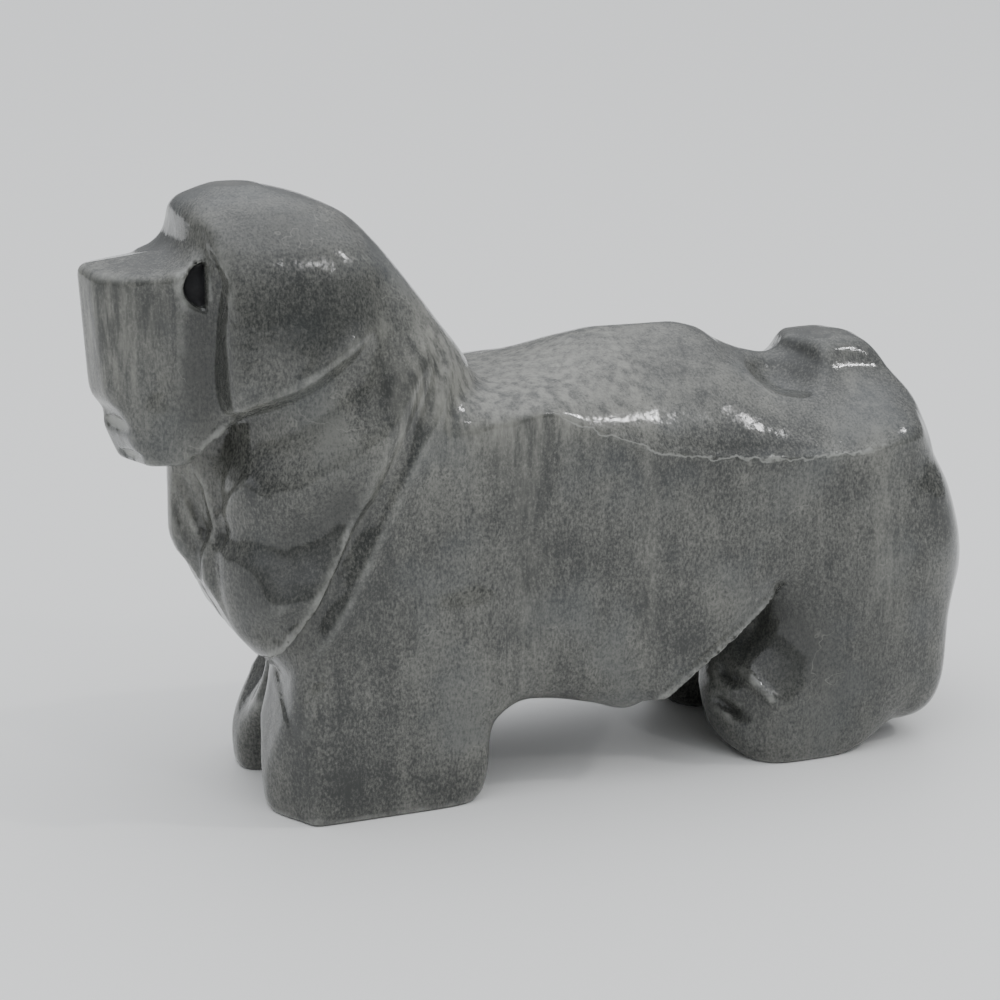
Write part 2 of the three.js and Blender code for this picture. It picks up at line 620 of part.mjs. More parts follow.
settle(stone, surface.positions, SETTLE_REACH);

// The carved surface as a solid in millimetres, cut flat under the soles.
const wasm = await Module();
wasm.setup();

function solidOf(geometry) {
  const bare = geometry.clone();
  bare.deleteAttribute('normal');
  bare.deleteAttribute('uv');
  const merged = mergeVertices(bare, 1e-4);
  const vertProperties = new Float32Array(merged.attributes.position.array);
  const triVerts = new Uint32Array(merged.index.array);
  return new wasm.Manifold(new wasm.Mesh({ numProp: 3, vertProperties, triVerts }));
}

const carved = new THREE.BufferGeometry();
const scaled = surface.positions.map((p) => p * SHARE);
carved.setAttribute('position', new THREE.BufferAttribute(new Float32Array(scaled), 3));
carved.setIndex(surface.indices);

const floor = new THREE.BoxGeometry(2 * LENGTH, 2 * LENGTH, LENGTH);
floor.translate(0, 0, -LENGTH / 2);
const standing = solidOf(carved).subtract(solidOf(floor)).getMesh();

const geometry = new THREE.BufferGeometry();
geometry.setAttribute('position', new THREE.BufferAttribute(new Float32Array(standing.vertProperties), 3));
geometry.setIndex(new THREE.BufferAttribute(new Uint32Array(standing.triVerts), 1));
geometry.computeBoundingBox();
const middle = geometry.boundingBox.getCenter(new THREE.Vector3());
geometry.translate(-middle.x, -middle.y, 0);
geometry.computeVertexNormals();

const polishedStone = new THREE.MeshStandardMaterial({ color: 0x59605c, roughness: 0.28, metalness: 0 });
const dog = new THREE.Mesh(geometry, polishedStone);
dog.name = 'dog';

const group = new THREE.Group();
group.add(dog);

export default group;
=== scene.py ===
# %% [markdown]
# A small dog carved from one block of polished grey-green stone stands on four flat soles.
# Everything here is one piece of stone, so the scene has one finished piece, a floor, lights and a camera.
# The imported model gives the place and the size, and this script gives the fine carving and the finish.

# %% The frame
import math
import bpy
import numpy as np
from mathutils import Matrix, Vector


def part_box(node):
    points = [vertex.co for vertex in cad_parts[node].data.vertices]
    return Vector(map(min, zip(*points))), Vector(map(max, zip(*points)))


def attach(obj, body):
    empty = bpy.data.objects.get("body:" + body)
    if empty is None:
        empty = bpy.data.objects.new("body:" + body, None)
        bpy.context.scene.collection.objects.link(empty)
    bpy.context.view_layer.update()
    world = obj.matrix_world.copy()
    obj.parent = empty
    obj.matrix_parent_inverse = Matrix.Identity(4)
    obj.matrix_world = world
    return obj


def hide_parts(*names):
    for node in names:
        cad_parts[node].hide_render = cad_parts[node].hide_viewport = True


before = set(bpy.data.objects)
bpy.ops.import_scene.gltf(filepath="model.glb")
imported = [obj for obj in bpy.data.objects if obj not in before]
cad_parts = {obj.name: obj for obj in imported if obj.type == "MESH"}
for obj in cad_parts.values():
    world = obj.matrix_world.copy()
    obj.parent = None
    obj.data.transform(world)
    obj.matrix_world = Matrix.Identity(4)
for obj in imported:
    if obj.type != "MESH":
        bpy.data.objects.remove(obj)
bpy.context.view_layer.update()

MM = 0.001
cad_low, cad_high = (np.array(corner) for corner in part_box("dog"))
print("stone block in mm", np.round((cad_high - cad_low) / MM, 1))

# %% [markdown]
# The camera stands where the photographer held theirs: about 18 cm away, to the front left of the dog and a
# little above it. A lens this long on a subject this close keeps the strong perspective of a close-up.
# The three axes of the view are worked out from two angles, so the aim can be read and changed as numbers.

# %% Camera
CAMERA_TURN = math.radians(-21)
CAMERA_RISE = math.radians(15)
CAMERA_PLACE = np.array([-65.7, -161.5, 68.1]) * MM
LENS = 79.2


def view_axes(turn, rise):
    """Right, up and back: back points from the subject to the camera, right is level, up is back x right."""
    back = np.array([math.sin(turn) * math.cos(rise), -math.cos(turn) * math.cos(rise), math.sin(rise)])
    right = np.array([math.cos(turn), math.sin(turn), 0.0])
    return right, np.cross(back, right), back


camera_data = bpy.data.cameras.new("camera")
camera_data.lens = LENS
camera_data.clip_start = 0.01
camera = bpy.data.objects.new("camera", camera_data)
bpy.context.scene.collection.objects.link(camera)
pose = Matrix.Identity(4)
for column, vector in enumerate((*view_axes(CAMERA_TURN, CAMERA_RISE), CAMERA_PLACE)):
    for row in range(3):
        pose[row][column] = vector[row]
camera.matrix_world = pose
bpy.context.scene.camera = camera
print("camera to the middle of the dog in mm", round(np.linalg.norm(CAMERA_PLACE - (cad_low + cad_high) / 2) / MM))

# %% [markdown]
# A carver starts with a block, roughs out a few big masses, and only then cuts hair and folds into them.
# The same order works in numpy. A branching body with four legs is not one sheet over two parameters, so the
# masses are functions of x, a and z, where a is the distance from the middle plane. Each is 0 on its surface and
# below 0 inside. Mixing such functions joins them with a fillet, as a rotary burr leaves it.

# %% Curves and joints
def curve(pairs):
    """Smooth curve through [place, value] pairs: cubic steps whose slopes are harmonic means, so it never
    overshoots, and it stays level past both ends."""
    place, value = np.array(pairs, float).T
    span = np.diff(place)
    rise = np.diff(value) / span
    before = 2 * span[1:] + span[:-1]
    after = span[1:] + 2 * span[:-1]
    same_way = rise[:-1] * rise[1:] > 0
    safe = np.where(same_way, rise[:-1], 1), np.where(same_way, rise[1:], 1)
    middle = np.where(same_way, (before + after) / (before / safe[0] + after / safe[1]), 0)
    slope = np.concatenate([rise[:1], middle, rise[-1:]])

    def evaluate(t):
        s = np.clip(t, place[0], place[-1])
        i = np.clip(np.searchsorted(place, s, side="right") - 1, 0, len(span) - 1)
        u = (s - place[i]) / span[i]
        v = 1 - u
        ends = (1 + 2 * u) * v * v * value[i] + u * u * (3 - 2 * u) * value[i + 1]
        return ends + span[i] * (u * v * v * slope[i] - u * u * v * slope[i + 1])

    return evaluate


def join(f, g, fillet):
    """Smaller of f and g, with a parabola of width 2 x fillet where they are nearly equal."""
    h = np.clip(0.5 + (g - f) / (2 * fillet), 0, 1)
    return g + (f - g) * h - fillet * h * (1 - h)


def trim(f, g, rounding):
    """Larger of f and g, rounded in the same way."""
    return -join(-f, -g, rounding)


print("where two masses are equally near, a fillet of 1 mm brings their joint", -join(0.0, 0.0, 1.0), "mm nearer")

# %% [markdown]
# Three simple forms are enough for the big masses: a rounded lump, a flat cut and an upright column. Spheres would look
# soft and boxes stiff. A superellipse has a power that leads from one to the other, so a foot can be nearly square and
# a haunch nearly round with the same few lines.

# %% Simple forms
def norm(a, b, c, power):
    """(|a|^p + |b|^p + |c|^p)^(1/p), which is 1 on a superellipse."""
    return (np.abs(a) ** power + np.abs(b) ** power + np.abs(c) ** power) ** (1 / power)


def lump(p, centre, radius, power):
    """Superellipsoid about a centre, scaled so that it grows by about 1 for each millimetre outwards."""
    q = norm(*((p[d] - centre[d]) / radius[d] for d in range(3)), power)
    return (q - 1) * min(radius)


def cut(p, point, normal):
    """Distance in front of a flat cut through a point."""
    n = np.array(normal) / np.linalg.norm(normal)
    return sum((p[d] - point[d]) * n[d] for d in range(3))


def upright(p, front, back, outer, inner=None, power=4.0):
    """Column whose plan section is a superellipse, with its four edges given as curves of the height."""
    f, b, o = front(p[2]), back(p[2]), outer(p[2])
    i = inner(p[2]) if inner else -o
    half_x = (b - f) / 2
    half_a = (o - i) / 2
    q = norm((p[0] - (b + f) / 2) / half_x, (p[1] - (o + i) / 2) / half_a, 0, power)
    return (q - 1) * np.minimum(half_x, half_a)


diagonals = [round(float(math.sqrt(2) / norm(1, 1, 0, power)), 2) for power in (2, 6)]
print("diagonal reach of a round and of a nearly square section", diagonals)

# %% [markdown]
# The trunk is one long loft. A loft over x could be swept as rings, but rings can't carry legs or a head, so it is
# written as a function as well: an arch over the back and a boxy flank under a soft edge that runs along the side.

# %% Trunk
BODY_HALF = 11.0
BACK_TOP = 35.5
RUMP_SLOPE = ((31.1, 9, 23.3), (0.86, 0.33, 0.40))
RUMP_START = 23.0
RUMP_LENGTH = 15.3
CHEST_START = -13.0
CHEST_LENGTH = 13.0

trunk_top = curve([[-22, 34], [-12, 33.4], [-8, 33], [-3, 33.7], [1, 35], [4.2, BACK_TOP], [10, BACK_TOP],
                   [12.4, 35], [14.3, 33.9], [17, 32.8], [20, 32.2], [24, 32], [28, 31.4], [31, 30]])
trunk_under = curve([[-22, 10], [-7.6, 7.4], [-3.8, 7.1], [0, 6.3], [2.8, 5.5], [5.1, 6.4], [8.4, 9.0], [11.9, 11.7],
                     [15.4, 14.6], [18, 15.5], [22, 12], [26, 9.5], [30, 9]])
trunk_half = curve([[-22, 9.2], [-13, 9.8], [-8, 10.5], [2, BODY_HALF], [10, 11.3], [20, 11.8], [28, 11.6]])
SIDE_EDGE = [[-14, 28.5], [-8, 30.4], [-4.9, 31.0], [0.5, 28.8], [4.8, 27.1], [9, 26.2], [13.6, 25.7], [21.8, 25.6],
             [26.4, 26.4], [30, 26.8]]
trunk_edge = curve(SIDE_EDGE)
trunk_round = curve([[-12, 2.4], [-4, 1.9], [2, 1.6], [20, 1.5], [30, 1.7]])


def trunk(p):
    """Loft along x. Above the soft edge the section is a flattened arch, below it a boxy flank with a flat belly;
    the two ends close as half ellipsoids, and a slanting cut takes the top of the rump."""
    x, a, z = p[:3]
    edge = trunk_edge(x)
    ends = np.maximum(x - RUMP_START, 0) / RUMP_LENGTH + np.maximum(CHEST_START - x, 0) / CHEST_LENGTH
    over = np.maximum(z - edge, 0) / np.maximum(trunk_top(x) - edge, 1)
    under = np.maximum(edge - z, 0) / (edge - trunk_under(x))
    arch = norm(norm(a / trunk_half(x), over, 0, trunk_round(x)), ends, 0, 2.2)
    flank = norm(norm(a / trunk_half(x), under, 0, 9), ends, 0, 2.2)
    body = (np.where(z > edge, arch, flank) - 1) * BODY_HALF
    return trim(body, cut(p, *RUMP_SLOPE), 2.2)


print("trunk in mm,", 2 * trunk_half(2), "wide at the waist and", 2 * trunk_half(20), "at the rump")

# %% [markdown]
# Head and mane are one upright mass with a superellipse for a plan. The hair falls from the crown to a point on the
# chest, so the plan grows and then shrinks again on the way up. Three curves of the height say all of that, and a side
# view of the photograph gives two of them directly.

# %% Mane
HEAD_HALF = 10.5
CROWN = 48.4
MANE_TIP = 9.5
mane_front = curve([[9.5, -20], [11, -23.8], [12.4, -26.1], [14.6, -28.2], [18, -29.3], [20.5, -29.5], [23, -28.6],
                    [26, -29.0], [30, -28.3], [34, -28.6], [38, -29.6], [41.7, -30.4], [46, -30.6], [47.2, -30.1],
                    [48.2, -28.9]])
mane_back = curve([[9.5, -14], [14, -10], [20, -8], [30, -7], [34, -8.4], [38, -11.2], [41.7, -14], [44, -15.9],
                   [46, -18], [47.2, -20.4], [48.2, -23.2]])
mane_outer = curve([[9.5, 7], [12.4, 8.9], [16.5, 10.2], [20, HEAD_HALF], [26, HEAD_HALF], [34, 10], [38, 9.5],
                    [41.7, 8.8], [44, 8], [46, 6.9], [47.2, 5.5], [48.2, 3.6]])


def mane(p):
    """One upright mass from the tip of the mane to the crown, capped flat and rounded at both ends."""
    body = upright(p, mane_front, mane_back, mane_outer, power=2.6)
    return trim(trim(body, p[2] - CROWN, 1.6), MANE_TIP - p[2], 1.5)


print("mane in mm, from", MANE_TIP, "to", CROWN, "high and", 2 * mane_outer(26), "wide")

# %% [markdown]
# Two smaller columns stand against the head. A brow joins the forehead to the muzzle and carries the eye on its side,
# and the fuller hair over the ear ends in front at a crisp edge beside the eye. That edge is a flat cut whose place and
# rounding are curves too, so it is sharp at the eye and melts away below.

# %% Brow and ear hair
brow_front = curve([[38, -32.1], [42.6, -32.2], [43.4, -31.5], [44.2, -30.9], [45.5, -30.4], [47, -29.9]])
brow_back = curve([[38, -24], [47, -24]])
brow_outer = curve([[38, 7.1], [43, 7.3], [44, 6.5], [45.5, 5.1], [47, 3.8]])
ear_front = curve([[30.5, -31.2], [36, -31.6], [42, -31.4], [44, -31.2], [46.6, -31.2]])
ear_face = curve([[30.5, -29.9], [36, -29.7], [39, -29.5], [41, -29.1], [42.2, -28.9], [43.7, -29.4], [45.3, -30.0],
                  [46.8, -30.3]])
ear_round = curve([[35, 1.3], [39.5, 0.4], [43.5, 0.4], [45.5, 1.3]])
ear_fillet = curve([[35, 2.2], [39.5, 0.9]])
ear_back = curve([[30.5, -25], [32.4, -23], [36, -18.5], [39, -16.5], [42, -16.5], [44.2, -17.5], [46.6, -21]])
ear_outer = curve([[30.5, 9.7], [32.4, 10.1], [36, 10.4], [39, 10.3], [42, 9.8], [44.2, 8.9], [46.6, 6.7]])


def brow(p):
    """Narrow mass in front of the forehead, whose side carries the eye."""
    body = trim(upright(p, brow_front, brow_back, brow_outer, power=6.0), p[2] - (CROWN - 1.2), 1.4)
    return trim(body, 36 - p[2], 2)


def ear_hair(p):
    """Fuller column over each ear, with a squarer front and a slanting lower cut."""
    body = upright(p, ear_front, ear_back, ear_outer, power=3.8)
    body = trim(body, cut(p, (-29.0, 0, 32.6), (0.50, 0, -1.0)), 1.8)
    body = trim(body, ear_face(p[2]) - p[0], ear_round(p[2]))
    return trim(body, p[2] - (CROWN - 1.4), 1.4)


print("ear hair stands out by", round(float(ear_outer(39) - mane_outer(39)), 1), "mm")

# %% [markdown]
# The muzzle is blunt because it was ground, not modelled: a wedge in plan, then flat cuts for the front, the chin,
# the top, the underside and the jaw. A list of cuts, each a point, a direction and a rounding, says just that. The bib
# of hair below the chin is faceted in the same way.

# %% Muzzle and bib
muzzle_half = curve([[-38, 2.4], [-37, 3.3], [-36, 4.3], [-34.2, 5.5], [-32.9, 6.2], [-31, 6.8], [-28, 7.2]])
MUZZLE_CUTS = [
    ((-37.95, 0, 40), (-1, 0.20, -0.05), 0.6),
    ((-37.95, 0, 33.8), (-1, 0.22, -0.42), 0.5),
    ((-35, 0, 43.3), (-0.12, 0.15, 1), 0.8),
    ((-34, 0, 27.9), (-0.04, 0.10, -1), 0.5),
    ((-34, 5.7, 28.9), (-0.15, 0.75, -0.50), 0.5),
    ((-31.4, 0, 28.3), (1.1, 0, -1), 0.25),
    ((-26, 0, 36), (1, 0, 0), 0.5),
]
BIB_CUTS = [
    ((-32.0, 0, 24), (-1, 0.12, 0.02), 0.4),
    ((-31.5, 1.6, 24), (-0.72, 0.69, 0), 0.35),
    ((-29, 3.5, 24), (-0.25, 1, 0.05), 0.5),
    ((-32.0, 0, 20.3), (-0.82, 0.1, -0.57), 0.3),
    ((-30.5, 0, 18.0), (-0.92, 0.2, -0.39), 0.3),
    ((-28, 0, 14.6), (0, 0, -1), 0.8),
    ((-24, 0, 24), (1, 0, 0), 0.5),
]


def cut_block(p, first, cuts):
    """A first distance, trimmed by each cut in turn."""
    f = first
    for point, normal, rounding in cuts:
        f = trim(f, cut(p, point, normal), rounding)
    return f


def muzzle(p):
    """Wedge in plan, cut by flat planes: front, chin, top, underside, jaw and throat."""
    return cut_block(p, p[1] - muzzle_half(p[0]), MUZZLE_CUTS)


def bib(p):
    """Hair on the chest, cut by flat planes: front, bevel, side, and two that draw it in below."""
    return cut_block(p, p[2] - 31.6, BIB_CUTS)


print("flat cuts on the muzzle and the bib", len(MUZZLE_CUTS), len(BIB_CUTS))

# %% [markdown]
# Each leg is a column with its four edges given as curves of the height. The real legs are stubs of the sawn block,
# so a high power in the plan keeps them square, and one slanting cut makes the broad flat on the front corner. The far
# front leg leans forward at the foot.

# %% Legs
HAUNCH_HALF = 12.0
FAR_LEAN = 0.34
LEAN_HEIGHT = 8.0

front_leg_front = curve([[-1, -25.6], [1, -26.2], [3, -26.3], [6, -25.9], [9, -25.2], [12, -24.7], [17, -23]])
front_leg_back = curve([[-1, -10.6], [0, -10.1], [1, -9.4], [3, -9.0], [6, -8.8], [8, -7.9], [9.5, -6.9], [17, -5]])
front_leg_outer = curve([[-1, 9.9], [1, 10.3], [6, 10.5], [17, 10.2]])
front_leg_inner = curve([[0, 2.6], [3, 2.2], [5, 1.2], [6.5, 0]])
hind_leg_front = curve([[-1, 14.6], [0, 13.8], [1, 12.7], [2.5, 11.8], [5.5, 11.3], [7.5, 11.8], [13, 14.8], [18, 18],
                        [24, 22]])
hind_leg_back = curve([[-1, 22.6], [0, 23.6], [1, 25.6], [2.5, 27.2], [5.5, 28.4], [9, 30], [13, 32], [18, 33]])
hind_leg_outer = curve([[-1, 11], [1, 11.6], [5.5, HAUNCH_HALF], [13, HAUNCH_HALF], [24, 11]])
hind_leg_inner = curve([[0, 3], [2.5, 2.6], [5.5, 1.8], [9, 0]])


def ease(t):
    """3u^2 - 2u^3, which rises smoothly from 0 to 1."""
    u = np.clip(t, 0, 1)
    return u * u * (3 - 2 * u)


def front_leg(p):
    """Square column with a flat outer corner; on the far side x shifts with the height above the foot."""
    x, a, z, far = p
    p = (x - FAR_LEAN * far * ease((z - 1) / LEAN_HEIGHT) * np.clip(z - 1.5, 0, LEAN_HEIGHT), a, z)
    leg = upright(p, front_leg_front, front_leg_back, front_leg_outer, front_leg_inner, 6.0)
    leg = trim(leg, cut(p, (-24.9, 8.6, 4), (-0.86, 0.50, -0.07)), 0.4)
    return trim(leg, p[2] - 17, 2)


def hind_leg(p):
    """Foot and thigh in one column that leans back into the haunch."""
    leg = upright(p, hind_leg_front, hind_leg_back, hind_leg_outer, hind_leg_inner, 3.4)
    leg = trim(leg, cut(p, (12.4, 9.0, 3), (-0.75, 0.62, 0)), 1.5)
    leg = trim(leg, cut(p, *RUMP_SLOPE), 2.2)
    return trim(leg, p[2] - 24, 3)


print("far front foot stands", round(FAR_LEAN * LEAN_HEIGHT, 1), "mm ahead of its leg")

# %% [markdown]
# The short tail lies over the rump as a low ridge with a wedge-shaped front, and a scooped hollow parts it from the
# back. It is cut by planes again, and joined to the rump with a wide fillet so that it grows out of it.

# %% Tail
TAIL_CUTS = [
    ((25.5, 0, 34.0), (-0.05, 0.06, 1), 1.0),
    ((30.9, 0, 29.6), (0.80, 0.12, 0.60), 2.2),
    (*RUMP_SLOPE, 2.2),
    ((26, 4.8, 31.5), (0.10, 1, 0.60), 0.9),
    ((20.8, 0, 33.6), (-0.84, 0.36, 0.40), 0.7),
]


def tail(p):
    """Wedge cut by planes: top, rear slope, rump slope, side and front."""
    return cut_block(p, 26 - p[2], TAIL_CUTS)


print("flat cuts on the tail", len(TAIL_CUTS))

# %% [markdown]
# Last come the rounder lumps: the haunch, the skirt of hair behind the hind foot, and the hollow before the tail.
# Then all masses are joined in turn. Each joint has its own fillet, small where the hair is crisp and large where one
# mass grows out of another.

# %% All masses
HAUNCH = ((23.6, 6.4, 13.0), (9.2, 5.6, 10.8), 2.6)
SKIRT = ((27.2, 6.0, 9.6), (5.3, 5.5, 8.3), 3.4)
TAIL_HOLLOW = ((18.9, 5.4, 33.6), (4.0, 4.4, 3.7), 2.0)
FILLET = {"thigh": 1.5, "skirt": 0.5, "hip": 1.2, "hollow": 0.8, "neck": 2.0, "brow": 0.7, "bib": 0.4,
          "shoulder": 1.8, "muzzle": 0.8, "tail": 1.8}


def masses(p):
    """All masses, each joined with the fillet that the stone shows there."""
    haunch = join(hind_leg(p), lump(p, *HAUNCH), FILLET["thigh"])
    haunch = join(haunch, lump(p, *SKIRT), FILLET["skirt"])
    f = trim(trunk(p), -lump(p, *TAIL_HOLLOW), FILLET["hollow"])
    f = join(f, mane(p), FILLET["neck"])
    f = join(f, ear_hair(p), ear_fillet(p[2]))
    f = join(f, brow(p), FILLET["brow"])
    f = join(f, bib(p), FILLET["bib"])
    f = join(f, haunch, FILLET["hip"])
    f = join(f, front_leg(p), FILLET["shoulder"])
    f = join(f, muzzle(p), FILLET["muzzle"])
    return join(f, tail(p), FILLET["tail"])


print("fillets in mm, from", min(FILLET.values()), "to", max(FILLET.values()))

# %% [markdown]
# The hair, the folds and the face are cut into the masses afterwards. Each stroke of the burr is a line drawn on
# the side of the dog. The distance from that line gives a rounded ridge or groove, or a step that is sharp on
# one side and runs out softly on the other, as the edge of the mane does.

# %% Strokes of the burr
def bell(t):
    """exp(-t^2)."""
    return np.exp(-t * t)


def along(x, z, line):
    """Signed distance from a line of [x, z] points, below 0 on its left, and the share of its length reached."""
    points = np.array(line, float)
    sizes = np.linalg.norm(np.diff(points, axis=0), axis=1)
    starts = np.concatenate([[0], np.cumsum(sizes)])
    best = np.full(x.shape, np.inf)
    offset = np.zeros(x.shape)
    share = np.zeros(x.shape)
    for (x0, z0), (x1, z1), size, start in zip(points[:-1], points[1:], sizes, starts):
        dx, dz = (x1 - x0) / size, (z1 - z0) / size
        t = np.clip((x - x0) * dx + (z - z0) * dz, 0, size)
        distance = np.hypot(x - x0 - t * dx, z - z0 - t * dz)
        side = np.sign(dx * (z - z0) - dz * (x - x0))
        nearer = distance < best
        best = np.where(nearer, distance, best)
        offset = np.where(nearer, -side * distance, offset)
        share = np.where(nearer, (start + t) / starts[-1], share)
    return offset, share


def ridge(x, z, line, width, ends):
    """bell(distance / width), fading out over a share of the line at both of its ends."""
    offset, share = along(x, z, line)
    return bell(offset / width) * ease(share / ends) * ease((1 - share) / ends)


def step(x, z, line, low_width, high_width, length):
    """1 just left of the line and 0 right of it; it runs out to the left over a length, and the change across the
    line widens from the start of the line to its end."""
    offset, share = along(x, z, line)
    width = low_width + (high_width - low_width) * ease((share - 0.35) / 0.35)
    edge = ease(0.5 - offset / width) * np.exp(-np.maximum(-offset, 0) / length)
    return edge * ease(share / 0.1) * ease((1 - share) / 0.2)


upright_line = [[0, 0], [0, 10]]
print("offset and share 1 mm right of a line, halfway up", *along(np.array([1.0]), np.array([5.0]), upright_line))

# %% [markdown]
# The strokes themselves are tables, so a stroke can be moved or made deeper in one place. A line is a list of
# [x, z] points in millimetres on the side of the dog, and after it come heights above the masses, below 0 where the
# burr cuts in, and widths. The chest is seen from the quarter, so its lines run along a turned axis. Strokes come in
# at a distance from the middle plane, over a length, so that the two sides meet without a crease.

# %% Where the strokes run
OVER_CHEST = (0.5, 1.5)
OVER_LINES = (0.5, 1.0)
OFF_MIDDLE = (2.5, 3.0)
UNDER_JAW = (2.5, 2.0)
ON_CHEEK = (3.5, 2.0)
AT_EYE = (5.0, 1.0)
ON_SIDE = (6.0, 2.0)
MANE_EDGE = [[-27.3, 11.4], [-25.6, 14.3], [-23.3, 17.9], [-21.0, 22.3], [-17.1, 29.8], [-14.8, 34.1],
             [-12.6, 38.2]]
EAR_EDGE = [[-30.6, 31.6], [-29.2, 32.3], [-27.2, 33.1], [-24, 34.7], [-21.8, 36.2], [-19.4, 37.9], [-17.5, 38.3]]
UNDER_EAR = [[x + 1.2, z - 2.8] for x, z in EAR_EDGE]
FLANK_EDGE = [[4.2, 6.3], [5.1, 7], [8.4, 9.5], [11.9, 12.1], [15.8, 15.4]]
SIDE_LINE = [[-4.9, 31.3], [0.5, 29.0], [4.8, 27.4], [9, 26.6], [13.6, 26.2], [21.8, 26.0], [26.4, 26.8]]
STEPS = [
    (MANE_EDGE, 0.95, 0.6, 2.2, 5),
    (FLANK_EDGE, 0.6, 0.5, 0.5, 3),
]
SIDE_STROKES = [
    (EAR_EDGE, 0.35, 0.8, 0.2),
    (UNDER_EAR, -0.4, 2.2, 0.3),
    ([[x + 2.3, z - 0.4] for x, z in MANE_EDGE], 0.4, 0.7, 0.2),
    ([[-14.5, 34.5], [-18, 31], [-24, 27], [-28.5, 25.2]], 0.5, 2.2, 0.3),
    ([[-19.2, 26.6], [-22.5, 23.4], [-27.6, 19.6]], -1.0, 2.1, 0.3),
    ([[-22.6, 20.8], [-25.2, 18.4], [-28, 16.8]], 0.35, 1.2, 0.3),
    ([[-23.8, 18.0], [-25.8, 16.2], [-27.4, 14.6]], -0.35, 0.8, 0.3),
    ([[-8.0, 7.8], [-7.2, 12], [-6.7, 18], [-6.3, 26]], -0.8, 1.9, 0.4),
    (FLANK_EDGE, 0.5, 0.5, 0.12),
    (SIDE_LINE, 0.15, 0.4, 0.1),
    ([[11.5, 5.2], [13.6, 3.5]], -0.8, 0.35, 0.3),
    ([[11.8, 8.6], [12.8, 6.3]], -0.8, 0.35, 0.3),
    ([[12.9, 8.4], [13.9, 6.8], [15.4, 5.2]], 0.5, 0.45, 0.3),
]
QUARTER = (0.934, 0.358)
QUARTER_STEPS = [
    ([[-26.0, 12.4], [-27.0, 15.4], [-27.4, 18.0], [-27.3, 20.3], [-26.3, 22.8], [-27.0, 25.8], [-28.2, 28.4]],
     -0.9, 0.5, 0.5, 2.5),
    ([[-23.2, 27.8], [-24.6, 25.8], [-26.2, 22.8]], 0.4, 0.5, 0.5, 2.0),
    ([[-22.6, 12.8], [-21.3, 9.6], [-19.9, 6.6]], -0.12, 0.5, 0.5, 1.5),
]
QUARTER_STROKES = [
    ([[-29.0, 27.2], [-27.7, 24.0], [-26.6, 21.2]], -0.55, 0.4, 0.2),
    ([[-29.6, 25.6], [-27.6, 20.2]], -0.5, 0.4, 0.2),
    ([[-17.6, 12.0], [-18.6, 9.6], [-19.9, 6.6]], 0.15, 0.6, 0.2),
    ([[-26.9, 28.9], [-25.8, 30.0], [-24.6, 31.4]], 0.25, 0.35, 0.2),
]
FLUTES = [(-33.6, -0.4, 0.95, 32, 42.4), (-32.3, 0.25, 0.6, 33, 44), (-30.1, -0.4, 1.3, 30, 41.6)]
FLUTE_LEAN = 0.02
FLUTE_LEVEL = 36.0
HAUNCH_HOLLOW = [((15.8, 10.4), (2.8, 3.6), 1.3)]
JAW_HOLLOW = [((-29.8, 29.4), (1.5, 1.5), 0.7)]
MOUTH_HEIGHT = 32.0
MOUTH_BACK = -34.8
MOUTH_DEPTH = 0.45
CLEFT_FOOT = 10.0
CLEFT_TOP = 20.5
CLEFT_BACK = -20.0
CLEFT_DEPTH = 0.5
EYE = (-30.05, 41.9)
EYE_HALF = (1.6, 1.6)
EYE_DEPTH = 0.8
CHIPS = [(-36.0, 31.2, 0.55), (-35.1, 28.9, 0.45)]
CHIP_DEPTH = 0.25
print("strokes of the burr", len(STEPS + SIDE_STROKES + QUARTER_STEPS + QUARTER_STROKES + FLUTES))

# %% [markdown]
# Eye and chips are shapes of their own. A distance from each edge gives the shallow slot or nick here, and the black
# paint or the pale bruise later, so carving and colour can't come apart.

# %% Eye and chips
def eye_distance(x, z):
    """Below 0 inside the eye: an ellipse left of a straight upright edge, pinched towards the top."""
    pinch = 1 - 0.22 * np.clip((z - EYE[1]) / EYE_HALF[1], 0, 1)
    oval = (np.hypot((x - EYE[0]) / (EYE_HALF[0] * pinch), (z - EYE[1]) / EYE_HALF[1]) - 1) * EYE_HALF[0]
    return np.maximum(oval, x - EYE[0] - 0.05 * (z - EYE[1]))


def chip_distance(x, z):
    """Distance in front of the nearest chip's round edge."""
    return np.min([np.hypot(x - cx, z - cz) - radius for cx, cz, radius in CHIPS], axis=0)


print("eye in mm,", 2 * EYE_HALF[0], "by", 2 * EYE_HALF[1], "and", EYE_DEPTH, "deep")

# %% [markdown]
# All carving adds up to one height above the masses, and the finished stone is masses less that height. A sum is
# enough, because the strokes are shallow beside the masses. A boolean for each stroke would leave hard, even edges.

# %% The sum of the carving
def fade(distance, start, length):
    """0 up to a start, then rising smoothly to 1 over a length."""
    return ease((distance - start) / length)


def spots(x, z, places):
    """Sum of soft spots on the side: strength x bell(distance from the place, in radii)."""
    return sum(strength * bell(np.hypot((x - cx) / rx, (z - cz) / rz)) for (cx, cz), (rx, rz), strength in places)


